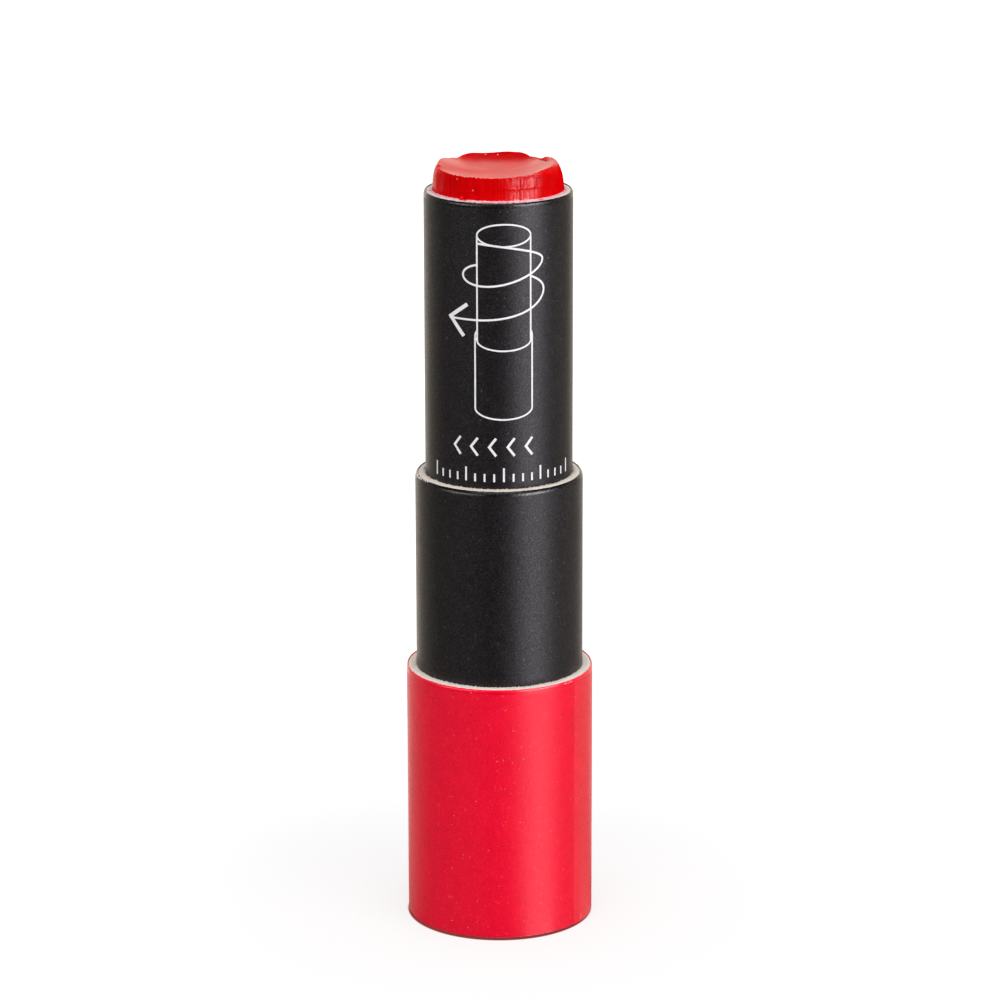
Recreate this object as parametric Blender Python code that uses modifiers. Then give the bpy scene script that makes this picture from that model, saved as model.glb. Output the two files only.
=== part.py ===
"""A paper tube lipstick: tubes of wound board that telescope round a bullet standing on a post.

The red base, with the black neck glued into it, is what the hand holds. The sleeve slides down into
the neck, so that more of the bullet stands out of it, and turns as it is pushed. The bullet's foot
sits in a short carrier tube, which swivels on top of a post that is glued to the base. Lengths are
in metres, +Z is up, -Y is the front, and the origin is the centre of the foot. Radii are worked out
from the base's diameter inwards, through each wall and each clearance.
"""

import math

import bmesh
import bpy

# Outside form
BASE_DIAMETER = 0.0200
BASE_HEIGHT = 0.0280
NECK_SHOWN = 0.0214
SLEEVE_SHOWN = 0.0303
BULLET_SHOWN = 0.0024

# Walls of paper and board
WRAP_WALL = 0.00015
BASE_WALL = 0.00088
NECK_WALL = 0.00086
SLEEVE_WALL = 0.00060
LINER_WALL = 0.00010
CARRIER_WALL = 0.00045
POST_WALL = 0.00080
BASE_DISC_THICKNESS = 0.0015
CARRIER_DISC_THICKNESS = 0.0012

# Gaps between pieces: glued, laid on each other, or running
GLUE_LINE = 0.00002
SEAT_GAP = 0.00005
SLEEVE_FIT = 0.00007
BULLET_FIT = 0.00006
SWIVEL_FIT = 0.00008

# Heights of what is inside
BASE_DISC_RECESS = 0.0006
COLLAR_HEIGHT = 0.0020
POST_BELOW_NECK_RIM = 0.0044
PLUG_LENGTH = 0.0040
CARRIER_CUP = 0.0060
CARRIER_SKIRT = 0.0050

# Cut edges of the board tubes, and how far round the rim a wrap is burnished
RIM_ROUND = 0.00030
EDGE_BREAK = 0.00008
WRAP_TURN = math.radians(35)
WRAP_FOOT = 0.00010

# The base's wrap laps over its own start, right of the front; the black wraps butt at the back
LAP_STEP = 0.00012
LAP_AZIMUTH = math.radians(52.5)
LAP_WIDTH = 0.0036
LAP_RAMP = 0.0004
LAP_BITE = 0.00005
BUTT_GAP = 0.00008

# The worn top of the bullet
DISH_DEPTH = 0.0011
SIDE_RISE = 0.0019
SIDE_DROP = 0.0006
SHOULDER_ROUND = 0.0016
BACK_LIP_HEIGHT = 0.00032
BACK_LIP_WIDTH = 0.0011
BACK_LIP_HALF_ANGLE = math.radians(32)
SOCKET_CHAMFER = 0.0004

# Facets
SEGMENTS = 72
ROUND_STEPS = 3
TOP_RINGS = 10
MERGE_DISTANCE = 0.000001
SHARP_ANGLE = math.radians(35)

# Radii, from the outside in
BASE_RADIUS = BASE_DIAMETER / 2
BASE_BOARD_RADIUS = BASE_RADIUS - WRAP_WALL - GLUE_LINE
BASE_BORE = BASE_BOARD_RADIUS - BASE_WALL
NECK_RADIUS = BASE_BORE - GLUE_LINE
NECK_BOARD_RADIUS = NECK_RADIUS - WRAP_WALL - GLUE_LINE
NECK_BORE = NECK_BOARD_RADIUS - NECK_WALL
SLEEVE_RADIUS = NECK_BORE - SLEEVE_FIT
SLEEVE_BOARD_RADIUS = SLEEVE_RADIUS - WRAP_WALL - GLUE_LINE
SLEEVE_BOARD_BORE = SLEEVE_BOARD_RADIUS - SLEEVE_WALL
LINER_RADIUS = SLEEVE_BOARD_BORE - GLUE_LINE
LINER_BORE = LINER_RADIUS - LINER_WALL
BULLET_RADIUS = LINER_BORE - BULLET_FIT
CARRIER_BORE = BULLET_RADIUS - CARRIER_WALL
SOCKET_RADIUS = CARRIER_BORE - GLUE_LINE
POST_RADIUS = CARRIER_BORE - SWIVEL_FIT
POST_BORE = POST_RADIUS - POST_WALL

# Heights above the foot; the sleeve's foot meets the collar as its rim comes level with the neck's
FLOOR = BASE_DISC_RECESS + BASE_DISC_THICKNESS + SEAT_GAP
NECK_RIM = BASE_HEIGHT + NECK_SHOWN
SLEEVE_RIM = NECK_RIM + SLEEVE_SHOWN
POST_TOP = NECK_RIM - POST_BELOW_NECK_RIM
SLEEVE_FOOT = FLOOR + COLLAR_HEIGHT + SEAT_GAP + SLEEVE_SHOWN
BULLET_FRONT_RIM = SLEEVE_RIM + BULLET_SHOWN


def clear_scene():
    for obj in list(bpy.data.objects):
        bpy.data.objects.remove(obj, do_unlink=True)


def new_collection(name):
    collection = bpy.data.collections.new(name)
    bpy.context.scene.collection.children.link(collection)
    return collection


def new_material(name, colour, roughness):
    material = bpy.data.materials.new(name)
    material.use_nodes = True
    shader = material.node_tree.nodes["Principled BSDF"]
    shader.inputs["Base Color"].default_value = (*colour, 1.0)
    shader.inputs["Roughness"].default_value = roughness
    shader.inputs["Metallic"].default_value = 0.0
    return material


def new_pivot(name, height, parts, parent=None):
    """An empty on the tube's axis, which carries the pieces that move together."""
    pivot = bpy.data.objects.new(name, None)
    pivot.location.z = height
    pivot.parent = parent
    parts.objects.link(pivot)
    return pivot


def place(obj, height, pivot=None):
    obj.parent = pivot
    obj.location.z = height
    return obj


def arc(centre_r, centre_z, radius, start, end):
    """Points (r, z) along an arc, where angle 0 points outwards and a quarter turn is up."""
    points = []
    for step in range(ROUND_STEPS + 1):
        angle = start + (end - start) * step / ROUND_STEPS
        points.append((centre_r + radius * math.cos(angle), centre_z + radius * math.sin(angle)))
    return points


def as_mesh(obj):
    """The object's evaluated form as a plain mesh object, welded and shaded, in its place."""
    bpy.context.view_layer.update()
    graph = bpy.context.evaluated_depsgraph_get()
    mesh = bpy.data.meshes.new_from_object(obj.evaluated_get(graph))
    shape = bmesh.new()
    shape.from_mesh(mesh)
    bmesh.ops.remove_doubles(shape, verts=shape.verts, dist=MERGE_DISTANCE)
    shape.to_mesh(mesh)
    shape.free()
    mesh.shade_smooth()
    mesh.set_sharp_from_angle(angle=SHARP_ANGLE)
    name = obj.name
    collection = obj.users_collection[0]
    world = obj.matrix_world.copy()
    bpy.data.objects.remove(obj, do_unlink=True)
    solid = bpy.data.objects.new(name, mesh)
    solid.matrix_world = world
    collection.objects.link(solid)
    return solid


def turned(name, profile, closed, collection, material):
    """Turns a profile of (r, z) points round Z. It starts at the top and runs down the outside."""
    shape = bmesh.new()
    points = [shape.verts.new((r, 0.0, z)) for r, z in profile]
    for first, second in zip(points, points[1:]):
        shape.edges.new((first, second))
    if closed:
        shape.edges.new((points[-1], points[0]))
    mesh = bpy.data.meshes.new(name)
    shape.to_mesh(mesh)
    shape.free()
    mesh.materials.append(material)
    obj = bpy.data.objects.new(name, mesh)
    collection.objects.link(obj)
    screw = obj.modifiers.new("turn", "SCREW")
    screw.steps = SEGMENTS
    screw.render_steps = SEGMENTS
    screw.use_merge_vertices = True
    screw.merge_threshold = MERGE_DISTANCE
    return as_mesh(obj)


def plain_tube(name, radius, bore, length, parts, material):
    profile = [(radius, length), (radius, 0.0), (bore, 0.0), (bore, length)]
    return turned(name, profile, True, parts, material)


def disc(name, radius, thickness, parts, material):
    profile = [(0.0, thickness), (radius, thickness), (radius, 0.0), (0.0, 0.0)]
    return turned(name, profile, False, parts, material)


def board_tube(name, radius, bore, length, parts, material):
    """A wound tube cut to length: the rim is rounded outside, and the other edges are broken."""
    profile = [(bore + EDGE_BREAK, length)]
    profile += arc(radius - RIM_ROUND, length - RIM_ROUND, RIM_ROUND, math.pi / 2, 0.0)
    profile += [
        (radius, EDGE_BREAK),
        (radius - EDGE_BREAK, 0.0),
        (bore + EDGE_BREAK, 0.0),
        (bore, EDGE_BREAK),
        (bore, length - EDGE_BREAK),
    ]
    return turned(name, profile, True, parts, material)


def wrap(name, radius, foot, length, parts, material):
    """The coated paper round a board tube, burnished inwards over the tube's rounded rim."""
    inner_round = RIM_ROUND + GLUE_LINE
    outer_round = inner_round + WRAP_WALL
    centre_r = radius - outer_round
    centre_z = length - RIM_ROUND
    profile = arc(centre_r, centre_z, outer_round, WRAP_TURN, 0.0)
    profile += [(radius, foot), (radius - WRAP_WALL, foot)]
    profile += arc(centre_r, centre_z, inner_round, 0.0, WRAP_TURN)
    return turned(name, profile, True, parts, material)


def boolean(obj, other, operation):
    modifier = obj.modifiers.new(other.name, "BOOLEAN")
    modifier.operation = operation
    modifier.solver = "EXACT"
    modifier.object = other
    other.hide_render = True
    other.display_type = "WIRE"


def lap_strip(cutters, material):
    """The end of the base's wrap, lying over its start: a step, a flat width and a ramp down."""
    outer = BASE_RADIUS + LAP_STEP
    inner = BASE_RADIUS - LAP_BITE
    start = LAP_AZIMUTH - math.pi / 2
    sweep = LAP_WIDTH / BASE_RADIUS
    facets = max(2, round(sweep / math.tau * SEGMENTS))
    angles = [start + sweep * step / facets for step in range(facets + 1)]
    outline = [(outer, angle) for angle in angles]
    outline += [(inner, angles[-1] + LAP_RAMP / BASE_RADIUS)]
    outline += [(inner, angle) for angle in reversed(angles)]
    length = BASE_HEIGHT - RIM_ROUND - WRAP_FOOT
    curve = bpy.data.curves.new("lap_strip", "CURVE")
    curve.dimensions = "2D"
    curve.fill_mode = "BOTH"
    curve.extrude = length / 2
    spline = curve.splines.new("POLY")
    spline.points.add(len(outline) - 1)
    for point, (radius, angle) in zip(spline.points, outline):
        point.co = (radius * math.cos(angle), radius * math.sin(angle), 0.0, 1.0)
    spline.use_cyclic_u = True
    curve.materials.append(material)
    strip = bpy.data.objects.new("lap_strip", curve)
    strip.location.z = WRAP_FOOT + length / 2
    cutters.objects.link(strip)
    return as_mesh(strip)


def butt_blade(name, radius, length, cutters):
    """A thin upright blade through the back of a wrap, where its two edges meet."""
    shape = bmesh.new()
    bmesh.ops.create_cube(shape, size=1.0)
    bmesh.ops.scale(shape, vec=(BUTT_GAP, 4 * WRAP_WALL, 2 * length), verts=shape.verts)
    bmesh.ops.translate(shape, vec=(0.0, radius - WRAP_WALL / 2, length / 2), verts=shape.verts)
    mesh = bpy.data.meshes.new(name)
    shape.to_mesh(mesh)
    shape.free()
    blade = bpy.data.objects.new(name, mesh)
    cutters.objects.link(blade)
    return blade


def worn_top(x, y):
    """Height of the bullet's worn top over a point, from its front rim's.

    Drawn across the lips from front to back, the stick wears to a dish that rises most at its two
    sides, where the shoulders are rubbed round. A thin lip is left standing at the back.
    """
    r = min(math.hypot(x, y), BULLET_RADIUS)
    side = (x / r) ** 2 if r > MERGE_DISTANCE else 0.0
    dish = -DISH_DEPTH + DISH_DEPTH * (r / BULLET_RADIUS) ** 2 + SIDE_RISE * (x / BULLET_RADIUS) ** 2
    rounding = SHOULDER_ROUND * side
    inset = max(0.0, r - BULLET_RADIUS + rounding)
    shoulder = -SIDE_DROP * side + math.sqrt(rounding ** 2 - inset ** 2)
    height = min(dish, shoulder)
    from_back = abs(math.atan2(x, y)) / BACK_LIP_HALF_ANGLE
    from_rim = (BULLET_RADIUS - r) / BACK_LIP_WIDTH
    if from_back < 1.0 and from_rim < 1.0:
        height += BACK_LIP_HEIGHT * (1.0 - from_rim) * math.cos(from_back * math.pi / 2) ** 0.5
    return height


def bullet(length, socket_depth, parts, material):
    """The stick, turned with a narrower foot for its socket, then worn at the top."""
    quarter = math.pi / 2
    profile = [(BULLET_RADIUS * math.sin(quarter * i / TOP_RINGS), length) for i in range(TOP_RINGS)]
    profile += [
        (BULLET_RADIUS, length),
        (BULLET_RADIUS, length - 2 * SHOULDER_ROUND),
        (BULLET_RADIUS, socket_depth),
        (SOCKET_RADIUS, socket_depth),
        (SOCKET_RADIUS, SOCKET_CHAMFER),
        (SOCKET_RADIUS - SOCKET_CHAMFER, 0.0),
        (0.0, 0.0),
    ]
    stick = turned("bullet", profile, False, parts, material)
    for vertex in stick.data.vertices:
        if vertex.co.z > length - MERGE_DISTANCE:
            vertex.co.z = length + worn_top(vertex.co.x, vertex.co.y)
    return stick


def build_base(parts, cutters, red, board):
    board_tube("base_tube", BASE_BOARD_RADIUS, BASE_BORE, BASE_HEIGHT, parts, board)
    skin = wrap("base_wrap", BASE_RADIUS, WRAP_FOOT, BASE_HEIGHT, parts, red)
    boolean(skin, lap_strip(cutters, red), "UNION")
    bottom = disc("base_disc", BASE_BORE - GLUE_LINE, BASE_DISC_THICKNESS, parts, board)
    place(bottom, BASE_DISC_RECESS)


def build_neck(parts, cutters, black, board):
    length = NECK_RIM - FLOOR
    place(board_tube("neck_tube", NECK_BOARD_RADIUS, NECK_BORE, length, parts, board), FLOOR)
    skin = place(wrap("neck_wrap", NECK_RADIUS, 0.0, length, parts, black), FLOOR)
    blade = place(butt_blade("neck_butt", NECK_RADIUS, length, cutters), FLOOR)
    boolean(skin, blade, "DIFFERENCE")


def build_post(parts, board):
    """The post on the base's disc, with a collar round its foot and a plug in its top."""
    post = plain_tube("post_tube", POST_RADIUS, POST_BORE, POST_TOP - FLOOR, parts, board)
    place(post, FLOOR)
    collar_radius = NECK_BORE - GLUE_LINE
    collar_bore = POST_RADIUS + GLUE_LINE
    collar = plain_tube("post_collar", collar_radius, collar_bore, COLLAR_HEIGHT, parts, board)
    place(collar, FLOOR)
    plug = disc("post_plug", POST_BORE - GLUE_LINE, PLUG_LENGTH, parts, board)
    place(plug, POST_TOP - PLUG_LENGTH)


def build_carrier(parts, pivot, wax, board):
    """The bullet and the short tube and disc that hold its foot, placed from the post's top."""
    disc_foot = SEAT_GAP
    disc_top = disc_foot + CARRIER_DISC_THICKNESS
    tube_length = CARRIER_SKIRT + disc_foot + CARRIER_CUP
    tube = plain_tube("carrier_tube", BULLET_RADIUS, CARRIER_BORE, tube_length, parts, board)
    place(tube, -CARRIER_SKIRT, pivot)
    place(disc("carrier_disc", SOCKET_RADIUS, CARRIER_DISC_THICKNESS, parts, board), disc_foot, pivot)
    bullet_foot = disc_top + SEAT_GAP
    socket_depth = tube_length - CARRIER_SKIRT + SEAT_GAP - bullet_foot
    length = BULLET_FRONT_RIM - POST_TOP - bullet_foot
    place(bullet(length, socket_depth, parts, wax), bullet_foot, pivot)


def build_sleeve(parts, cutters, pivot, black, board, greaseproof):
    """The printed sleeve, placed from its foot."""
    length = SLEEVE_RIM - SLEEVE_FOOT
    tube = board_tube("sleeve_tube", SLEEVE_BOARD_RADIUS, SLEEVE_BOARD_BORE, length, parts, board)
    place(tube, 0.0, pivot)
    skin = place(wrap("sleeve_wrap", SLEEVE_RADIUS, 0.0, length, parts, black), 0.0, pivot)
    blade = place(butt_blade("sleeve_butt", SLEEVE_RADIUS, length, cutters), 0.0, pivot)
    boolean(skin, blade, "DIFFERENCE")
    lining = plain_tube("sleeve_liner", LINER_RADIUS, LINER_BORE, length, parts, greaseproof)
    place(lining, 0.0, pivot)


def main():
    clear_scene()
    parts = new_collection("paper_tube_lipstick")
    cutters = new_collection("cutters")
    red = new_material("red_coated_paper", (0.78, 0.012, 0.035), 0.45)
    black = new_material("black_coated_paper", (0.016, 0.015, 0.017), 0.50)
    board = new_material("grey_white_board", (0.74, 0.68, 0.60), 0.90)
    greaseproof = new_material("greaseproof_paper", (0.80, 0.72, 0.68), 0.60)
    wax = new_material("red_wax", (0.60, 0.004, 0.006), 0.45)

    build_base(parts, cutters, red, board)
    build_neck(parts, cutters, black, board)
    build_post(parts, board)
    carrier_pivot = new_pivot("carrier_pivot", POST_TOP, parts)
    build_carrier(parts, carrier_pivot, wax, board)
    sleeve_pivot = new_pivot("sleeve_pivot", SLEEVE_FOOT - POST_TOP, parts, carrier_pivot)
    build_sleeve(parts, cutters, sleeve_pivot, black, board, greaseproof)


main()
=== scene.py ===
"""Looks of a paper tube lipstick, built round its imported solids.

The paper wraps, the cut board rims, the worn wax and the printed sign are modelled here, each in the
space of its solid. Lengths are in metres where no comment says mm. The tube stands on the origin, +Z
is up and -Y is the front. An azimuth is counted from the front and grows towards the right.
"""

import math

import bmesh
import bpy
import numpy as np
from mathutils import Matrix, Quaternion, Vector


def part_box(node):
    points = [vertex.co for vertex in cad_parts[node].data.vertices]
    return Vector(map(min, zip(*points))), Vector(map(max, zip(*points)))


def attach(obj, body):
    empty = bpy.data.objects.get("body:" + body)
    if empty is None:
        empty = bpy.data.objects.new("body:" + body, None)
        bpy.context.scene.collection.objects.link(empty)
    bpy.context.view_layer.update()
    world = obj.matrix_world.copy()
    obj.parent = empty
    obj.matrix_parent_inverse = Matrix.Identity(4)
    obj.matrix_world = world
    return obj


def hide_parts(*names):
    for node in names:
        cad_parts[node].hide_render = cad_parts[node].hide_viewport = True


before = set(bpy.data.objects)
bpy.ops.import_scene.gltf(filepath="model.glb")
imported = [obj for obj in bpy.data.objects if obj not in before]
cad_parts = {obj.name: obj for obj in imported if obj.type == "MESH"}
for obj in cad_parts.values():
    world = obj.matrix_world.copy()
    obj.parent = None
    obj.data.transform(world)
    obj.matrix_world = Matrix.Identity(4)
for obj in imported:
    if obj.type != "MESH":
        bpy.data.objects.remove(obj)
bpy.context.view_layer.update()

MM = 0.001
TURN = math.tau
DEGREE = TURN / 360


# Sizes read from the solids

def outer_radius(node):
    """A node's radius on its left side, which no lap or seam reaches."""
    return -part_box(node)[0].x


def radii_of(node):
    return [math.hypot(v.co.x, v.co.y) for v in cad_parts[node].data.vertices]


def foot_of(node):
    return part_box(node)[0].z


def top_of(node):
    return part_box(node)[1].z


def colour(red, green, blue):
    return (red, green, blue, 1.0)


# The tube
BASE_RADIUS = outer_radius("base_wrap")
LAP_RADIUS = max(radii_of("base_wrap"))
BASE_RIM = top_of("base_tube")
NECK_RADIUS = outer_radius("neck_wrap")
NECK_RIM = top_of("neck_tube")
SLEEVE_RADIUS = outer_radius("sleeve_wrap")
SLEEVE_BORE = min(radii_of("sleeve_tube"))
SLEEVE_RIM = top_of("sleeve_tube")
BULLET_RADIUS = outer_radius("bullet")
BULLET_TOP = top_of("bullet")

# Paper and board
COLUMNS = 540
SHARP_FROM = 40 * DEGREE
WRAP_WALL = 0.15 * MM
WRAP_EDGE = 0.02 * MM
GLUE_LINE = 0.02 * MM
EDGE_BREAK = 0.06 * MM
# Where a wrap is burnished in over its board: radius of the rounding, and how far it turns
BASE_ROUND = (0.34 * MM, 38 * DEGREE)
NECK_ROUND = (0.68 * MM, 46 * DEGREE)
SLEEVE_ROUND = (0.42 * MM, 45 * DEGREE)
BUTT_GAP = 0.08 * MM
# The red paper's lap: where its edge is, and the angles of half its width, its end and its edge
LAP_AZIMUTH = 52.5 * DEGREE
LAP_HALF = 1.8 * MM / BASE_RADIUS
LAP_RAMP = 0.4 * MM / BASE_RADIUS
LAP_EDGE = 0.85 * MM / BASE_RADIUS
DENT_DEPTH = 0.014 * MM
RIM_RAGGED = 0.025 * MM
CHIP_AZIMUTH = -72 * DEGREE
CHIP_HALF = 17 * DEGREE
CHIP_DEPTH = 0.16 * MM
FIBRE_HEIGHT = 0.018 * MM
WAVE_HEIGHT = 0.012 * MM
BURR = 0.15 * MM
SLEEVE_BURR = 0.04 * MM
PLY = 0.27 * MM
LINER_PROUD = 0.06 * MM
# Scuffs: azimuth in degrees, depth below the rim and three half sizes in mm
BASE_SCUFFS = ((47, 0.25, 0.9, 0.9, 0.10), (60, 27.4, 0.2, 0.2, 0.5))
NECK_SCUFFS = ((-76, 0.12, 1.4, 2.6, 0.26), (-62, 0.10, 1.0, 1.0, 0.16))
# Smears of wax near the ring's outer edge: azimuth in degrees and half length in mm
RING_SMEARS = ((-10.5, 0.95), (-4.5, 0.35), (3.0, 0.75), (7.5, 0.35), (12.0, 0.30), (19.5, 0.60))
SMEAR_INSET = 0.33 * MM

# Looks of the papers
GRAIN_DEPTH = 0.023
SATIN = 0.33
BURNISH = 0.20
DOT_STRENGTH = 0.16
FLECK_STRENGTH = 0.6
MOTTLE_SPAN = 0.24
# A paler red for the lap: painted light, standing in for sheen the lamps don't give there
LAP_PAINTED_LIGHT = colour(0.79, 0.022, 0.040)
# A coat's colour, mottling, flecks and bare paper, its least and most sheen, and where mottling starts
RED_COAT = (colour(0.775, 0.0001, 0.0225), colour(0.92, 0.003, 0.044), colour(0.80, 0.34, 0.20),
            colour(0.90, 0.30, 0.28), (0.38, 0.62), 0.50)
BLACK_COAT = (colour(0.0042, 0.0036, 0.0040), colour(0.0220, 0.0204, 0.0220), colour(0.155, 0.15, 0.145),
              colour(0.62, 0.57, 0.53), (0.19, 0.54), 0.46)
BOARD = colour(0.57, 0.515, 0.46)
BASE_BOARD = colour(0.66, 0.595, 0.54)
LINING = colour(0.84, 0.76, 0.70)
RING_BLUSH = colour(0.58, 0.52, 0.49)
INK = colour(0.83, 0.82, 0.85)

# The bullet: its front rim stands this far over the sleeve
FRONT_RIM = SLEEVE_RIM + 2.4 * MM
BULLET_COLUMNS = 600
TOP_ROWS = 96
SIDE_ROWS = 34
DETAILED_FROM = SLEEVE_RIM - 0.5 * MM
# The worn rim: azimuths in degrees, with its height over the front and its inset from the side in mm
RIM_HEIGHTS = (
    (-175, 0.20), (-165, 0.20), (-154, 0.32), (-147, 0.20), (-139, 0.04), (-131, 0.12), (-124, 0.22),
    (-112, 0.46), (-100, 0.60), (-90, 0.58), (-77, 0.52), (-68, 0.28), (-61, 0.20), (-48, 0.12),
    (-39, 0.03), (-20, 0.0), (0, 0.0), (11, 0.07), (22, 0.14), (31, 0.25), (40, 0.45), (54, 0.60),
    (70, 0.62), (90, 0.64), (103, 0.58), (114, 0.42), (126, 0.24), (134, 0.0), (148, -0.03),
    (153, 0.16), (158, 0.30), (173, 0.32),
)
SHOULDER_INSETS = (
    (-170, 0.20), (-150, 0.25), (-124, 0.55), (-112, 0.70), (-100, 0.78), (-90, 0.78), (-76, 0.48),
    (-66, 0.25), (-54, 0.10), (-40, 0.04), (28, 0.04), (42, 0.20), (54, 0.38), (66, 0.65), (78, 0.92),
    (90, 0.98), (105, 0.98), (118, 0.85), (130, 0.65), (145, 0.35), (160, 0.20),
)
RIM_BLUR = 4
DISH_BLUR = 22
SHOULDER_SLOPE = 3.1
DISH_DEPTH = 0.62 * MM
DISH_POWER = 2.3
BACK_POWER = 3.2
DISH_TILT = 0.07
RIM_NICKS = 0.07 * MM
# Folds: both ends, width and depth in mm
FOLDS = ((4.15, 4.20, 5.30, 0.65, 0.13, 0.30), (-4.7, 4.1, -3.0, 5.5, 0.12, 0.15))
# Pits: place, size and depth in mm
PITS = ((-6.20, -1.90, 0.16, 0.28), (3.3, 5.6, 0.12, 0.10))
STREAK_DEPTH = 0.020 * MM
FACET_DEPTH = 0.022 * MM
# Flat patches on the side: azimuth, half angle and the way they face in degrees, both ends' heights in mm
FLATS = (
    (14.6, 5.0, 18.5, 80.87, 81.95), (26.6, 4.9, 25.0, 80.87, 82.05), (38.8, 4.4, 35.0, 80.87, 81.95),
    (14.6, 4.4, 18.0, 79.75, 80.72), (26.6, 4.5, 25.0, 79.75, 80.72), (-62.0, 6.0, -62.0, 80.2, 81.8),
)
FLAT_EDGE = 0.08 * MM
BEAD_BELOW = 0.12 * MM
BEAD_DEPTH = 0.03 * MM
RUBBED_DEPTH = 0.0015 * MM
# Crumbs: azimuth in degrees, radius, height over the rim and size in mm, and slenderness
CRUMBS = ((-31.8, 7.10, 0.20, 0.17, 1.5), (-34.0, 7.08, 0.06, 0.09, 0.8), (-29.6, 7.14, 0.03, 0.09, 0.8),
          (-28.2, 7.12, 0.03, 0.07, 0.8), (-32.0, 7.16, 0.03, 0.06, 0.8))

# Looks of the wax
GLEAM_AZIMUTH = 21 * DEGREE
GLEAM_HALF = 25 * DEGREE
GLEAM_TOP = 82.0 * MM
CRACK_HEIGHT = 80.87 * MM
# Growth of the dish's sheen per metre, to the left and the front
DISH_SLANT = (-40.0, -36.0, 0.0)
# The top's back lip: where it starts towards the back and how far it fades in. Its red is darkened there as
# painted shade, and its sheen is lower
LIP_FROM = 3.2 * MM
LIP_WIDTH = 2.3 * MM
# Pale specks on the wax: place, height and half height in mm
WAX_SPECKS = (
    (3.24, 4.46, 81.88, 0.3), (-1.33, 6.23, 82.16, 0.3), (-0.05, 6.25, 82.13, 0.3),
    (1.49, 0.01, 81.53, 0.3), (1.66, 3.56, 81.72, 0.3), (-2.62, -6.32, 80.76, 0.1),
    (-4.24, -5.40, 81.78, 0.1),
)
SPECK_STRENGTH = 0.36
WAX_RED = colour(0.58, 0.0004, 0.0015)
# The crumbs' red, lighter than the bullet's: painted light that brightens them beyond their shading
CRUMB_PAINTED_LIGHT = colour(0.85, 0.0008, 0.003)
WAX_SPECK = colour(0.85, 0.55, 0.45)
# Painted shade for the dark line along the wax's fold
FOLD_PAINTED_SHADE = colour(0.10, 0.002, 0.004)
WAX_STAIN = colour(0.72, 0.31, 0.43)
WAX_SMEAR = colour(0.66, 0.03, 0.04)

# The printed sign, in mm on the unrolled sleeve: right of its front, and height
SIGN_MIDDLE = 0.58
SIGN_FOOT = 58.0
SIGN_STEP = 65.2
SIGN_SHOULDER = 65.5
SIGN_TOP = 76.3
WIDE = 3.04
WIDE_MIDDLE = SIGN_MIDDLE - 0.035
SLIM = 2.84
FOOT_OVAL = 1.20
STEP_OVAL = 1.07
TOP_OVAL = 1.17
CORNER = 0.70
PEN = 0.172
LINE_STEP = 0.4
OVAL_STEP = 0.06
COIL_PEN = 0.21
COIL_TOP = 73.7
# Parts of the arrow's path: first turn, then reach, pitch, depth and lean
COIL_PARTS = (
    (-1.0, 4.24, 3.97, 0.39, 0.0), (0.0, 4.24, 3.19, 1.75, 0.20), (0.25, 4.40, 3.19, 1.75, 0.20),
    (0.75, 4.40, 3.19, 1.32, 0.0), (1.0, 4.40, 3.19, 1.75, -0.12),
)
COIL_SAG = 5.9
COIL_FLARE = 0.40
COIL_STEP = 0.01
COIL_SEEN = ((-0.366, 0.64), (0.862, 1.45))
ARROW_PEN = 0.40
ARROW_HIGH = (2.2, 1.5)
ARROW_LOW = (1.78, -1.9)
CHEVRONS = 5
CHEVRON_ROW = (-5.0, 53.85)
CHEVRON_STEP = 1.95
CHEVRON_WIDE = 0.80
CHEVRON_TALL = 0.95
CHEVRON_PEN = 0.26
TICKS = 17
TICK_ROW = (-7.65, 50.1)
TICK_STEP = 1.02
TALL_TICK = 1.50
SHORT_TICK = 0.85
TICK_PEN = 0.20
INK_PROUD = 0.008 * MM
INK_ROOT = 0.03 * MM
INK_ACROSS = 4

# The studio: what gloss sees from the front round to the back, and how much brighter to the sides
SURROUNDINGS = ((0.0, 0.015), (0.35, 0.02), (0.55, 0.11), (0.70, 0.27), (0.89, 0.42), (0.96, 1.15),
                (1.0, 1.2))
BACKDROP_TINT = (1.0, 0.89, 0.77)
LEFT_GAIN = 1.6
RIGHT_GAIN = 2.4
LOW_GAIN = 1.25
FLOOR_SHARE = 0.70
KEY_TINT = colour(1.0, 0.94, 1.01)
FILL_TINT = colour(1.0, 0.96, 0.93)
KEY_AZIMUTH = 50
FILL_AZIMUTH = -54
# Light that gloss sees low on the floor, and in strips higher up: azimuth and half width in degrees
POOLS = ((KEY_AZIMUTH, 46, 0.62, KEY_TINT), (KEY_AZIMUTH, 24, 1.95, KEY_TINT),
         (FILL_AZIMUTH, 46, 0.15, FILL_TINT))
STRIPS = ((KEY_AZIMUTH, 30, 20.0, KEY_TINT), (FILL_AZIMUTH, 30, 9.0, FILL_TINT))
# Softboxes: azimuth and elevation in degrees, distance, width, height, radiance and tint
SOFTBOXES = (("key_softbox", KEY_AZIMUTH, 14, 0.5, 0.34, 0.30, 3.1, (1.0, 0.95, 1.01)),
             ("top_softbox", 0, 60, 0.6, 0.6, 0.4, 1.8, (1.0, 0.98, 0.96)))
AIM = Vector((0.0, 0.0, 45 * MM))
AMBIENT = colour(2.9, 2.9, 2.9)
WHITE = colour(1.0, 1.0, 1.0)
FLOOR_SIZE = 8.0
FLOOR_ALBEDO = 0.06
FLOOR_SHOWN = 0.22
FLOOR_GLOW = 0.70
NEAR_FLOOR = 20 * MM
FAR_FLOOR = 110 * MM
# A contact shadow painted on the floor round the foot: its colour, its shift towards the front and its fade
CONTACT_SHADE = colour(0.40, 0.055, 0.05)
CONTACT_SHIFT = (-0.06 * MM, -0.50 * MM, 0.0)
CONTACT_FADE = 0.12 * MM
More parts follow.
